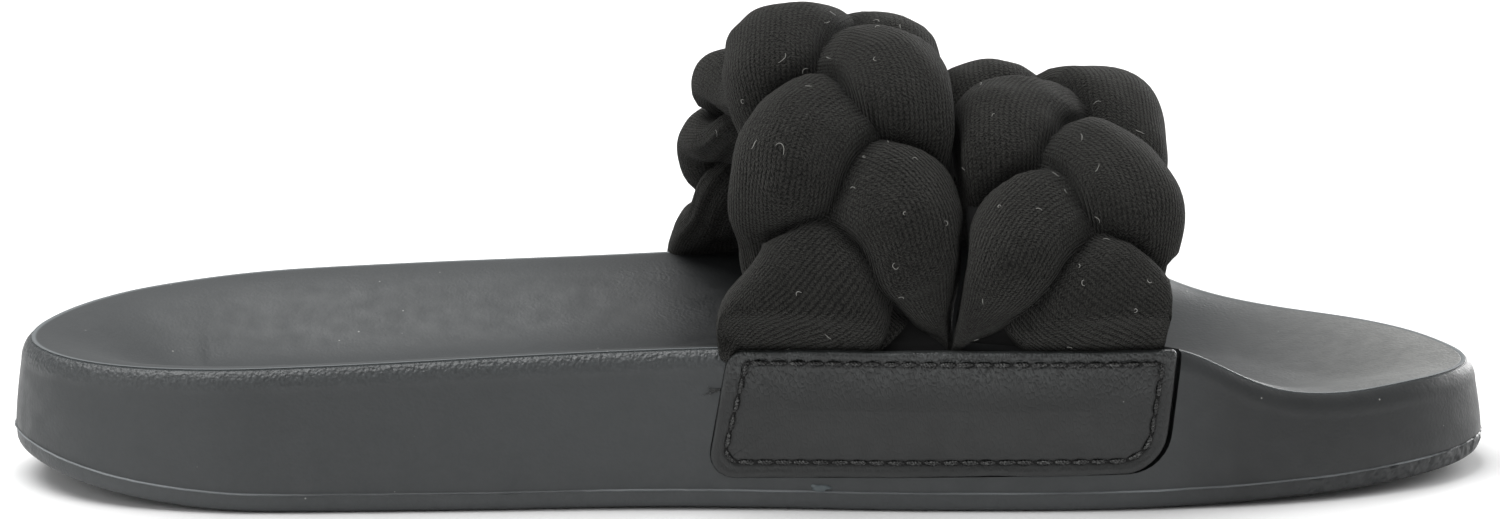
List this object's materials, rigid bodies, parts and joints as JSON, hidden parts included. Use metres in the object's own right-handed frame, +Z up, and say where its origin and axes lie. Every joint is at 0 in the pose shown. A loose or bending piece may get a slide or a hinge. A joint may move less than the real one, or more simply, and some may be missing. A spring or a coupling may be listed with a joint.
{
  "type": "slide sandal",
  "caption": "Open-toed slide sandal for the left foot: thick padded braids side by side over the instep, stitched side panels and a moulded sole with a dished footbed",
  "frame": {"origin": "centre of the bounding box's bottom, on the ground under the sole", "axes": "+X from heel to toe, -Y the inner (big-toe) side, +Y the outer side, +Z up"},
  "size_m": [0.2656, 0.0945, 0.0839],
  "materials": {
    "outsole": "dark cool grey, slightly rough moulded foam rubber",
    "midsole": "dark cool grey moulded foam with a fine satin pebble",
    "side_panel_inner": "dark grey leather-look sheet, fine grain, semi-matt",
    "side_panel_outer": "dark grey leather-look sheet, fine grain, semi-matt",
    "braid_rear": "near-black ribbed cotton jersey, soft and matt",
    "braid_front": "near-black ribbed cotton jersey, soft and matt"
  },
  "bodies": {
    "root": {"outsole": "outsole", "midsole": "midsole", "side_panel_inner": "side_panel_inner", "side_panel_outer": "side_panel_outer", "braid_rear": "braid_rear", "braid_front": "braid_front"}
  },
  "joints": []
}
